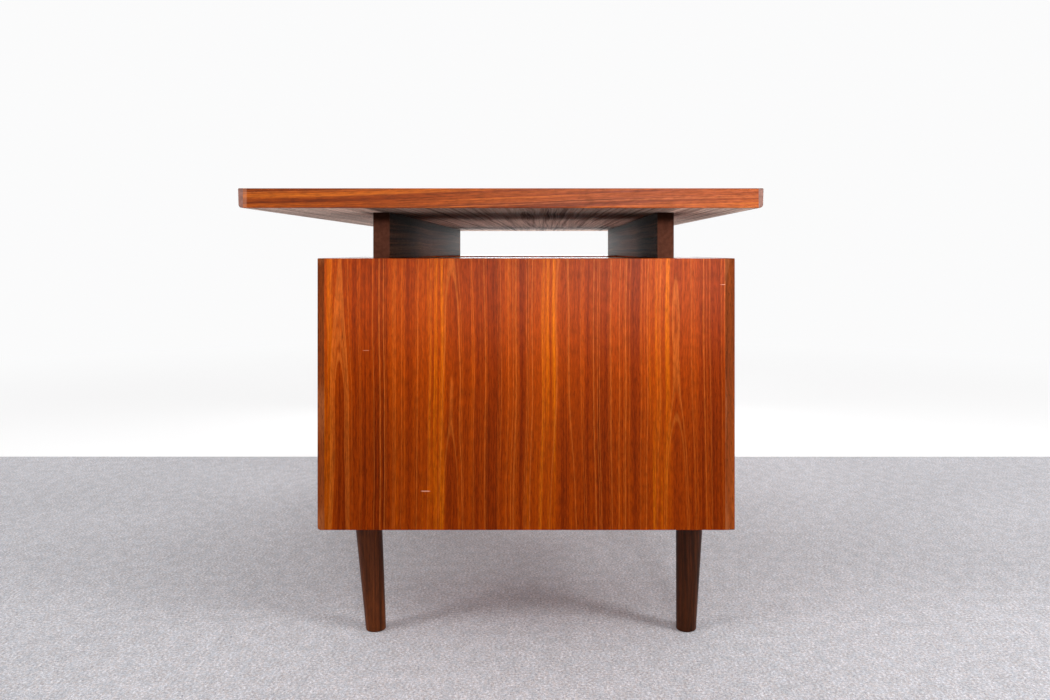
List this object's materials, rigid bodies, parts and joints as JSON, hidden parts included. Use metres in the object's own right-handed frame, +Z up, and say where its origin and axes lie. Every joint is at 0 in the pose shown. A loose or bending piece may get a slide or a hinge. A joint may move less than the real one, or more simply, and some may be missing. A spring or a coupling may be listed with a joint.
{
  "type": "writing desk",
  "caption": "Writing desk with a raised rectangular top on long rails, hanging pedestals with drawers in front and open book bays behind, and tapered turned legs.",
  "frame": {"origin": "on the floor, under the middle of the desk top", "axes": "+Z up, +X to the user's right along the length, -Y towards the user, so the drawers open to -Y"},
  "size_m": [1.5, 0.75, 0.72],
  "materials": {
    "teak_veneer": "oiled, satin",
    "teak_solid": "oiled, satin",
    "underside_veneer": "unfinished, matt",
    "core_board": "raw board",
    "rail_wood": "dark stain, satin",
    "leg_wood": "dark stain, satin",
    "drawer_wood": "waxed, matt",
    "drawer_bottom": "plywood, matt",
    "steel": "zinc plated",
    "brass": "dull"
  },
  "bodies": {
    "desk": {"drawer_runners": "drawer_wood", "left_book_shelf": "teak_solid", "left_case_back_lipping": "teak_solid", "left_case_bottom": "teak_veneer", "left_case_front_lipping": "teak_solid", "left_case_inner_side": "teak_veneer", "left_case_outer_side": "teak_veneer", "left_case_top": "teak_veneer", "left_partition": "teak_veneer", "leg_back_left": "leg_wood", "leg_back_right": "leg_wood", "leg_front_left": "leg_wood", "leg_front_right": "leg_wood", "leg_sleeves": "brass", "leg_studs": "steel", "rail_back": "rail_wood", "rail_front": "rail_wood", "rail_screws": "steel", "right_book_shelf": "teak_solid", "right_case_back_lipping": "teak_solid", "right_case_bottom": "teak_veneer", "right_case_front_lipping": "teak_solid", "right_case_inner_side": "teak_veneer", "right_case_outer_side": "teak_veneer", "right_case_top": "teak_veneer", "right_partition": "teak_veneer", "shelf_pins": "brass", "top_core": "core_board", "top_dowels": "drawer_wood", "top_lipping_back": "teak_solid", "top_lipping_front": "teak_solid", "top_lipping_left": "teak_solid", "top_lipping_right": "teak_solid", "top_underside_veneer": "underside_veneer", "top_veneer": "teak_veneer"},
    "left_drawer_1": {"left_drawer_1_back": "drawer_wood", "left_drawer_1_bottom": "drawer_bottom", "left_drawer_1_front": "teak_veneer", "left_drawer_1_lip": "teak_solid", "left_drawer_1_sides": "drawer_wood"},
    "left_drawer_2": {"left_drawer_2_back": "drawer_wood", "left_drawer_2_bottom": "drawer_bottom", "left_drawer_2_front": "teak_veneer", "left_drawer_2_lip": "teak_solid", "left_drawer_2_sides": "drawer_wood"},
    "left_drawer_3": {"left_drawer_3_back": "drawer_wood", "left_drawer_3_bottom": "drawer_bottom", "left_drawer_3_front": "teak_veneer", "left_drawer_3_lip": "teak_solid", "left_drawer_3_sides": "drawer_wood"},
    "right_drawer_1": {"right_drawer_1_back": "drawer_wood", "right_drawer_1_bottom": "drawer_bottom", "right_drawer_1_front": "teak_veneer", "right_drawer_1_lip": "teak_solid", "right_drawer_1_sides": "drawer_wood"},
    "right_drawer_2": {"right_drawer_2_back": "drawer_wood", "right_drawer_2_bottom": "drawer_bottom", "right_drawer_2_front": "teak_veneer", "right_drawer_2_lip": "teak_solid", "right_drawer_2_sides": "drawer_wood"}
  },
  "joints": [
    {"name": "left_drawer_1_slide", "type": "slide", "parent": "desk", "child": "left_drawer_1", "axis": [0, -1, 0], "range_m": [0, 0.3]},
    {"name": "left_drawer_2_slide", "type": "slide", "parent": "desk", "child": "left_drawer_2", "axis": [0, -1, 0], "range_m": [0, 0.3]},
    {"name": "left_drawer_3_slide", "type": "slide", "parent": "desk", "child": "left_drawer_3", "axis": [0, -1, 0], "range_m": [0, 0.3]},
    {"name": "right_drawer_1_slide", "type": "slide", "parent": "desk", "child": "right_drawer_1", "axis": [0, -1, 0], "range_m": [0, 0.3]},
    {"name": "right_drawer_2_slide", "type": "slide", "parent": "desk", "child": "right_drawer_2", "axis": [0, -1, 0], "range_m": [0, 0.3]}
  ]
}
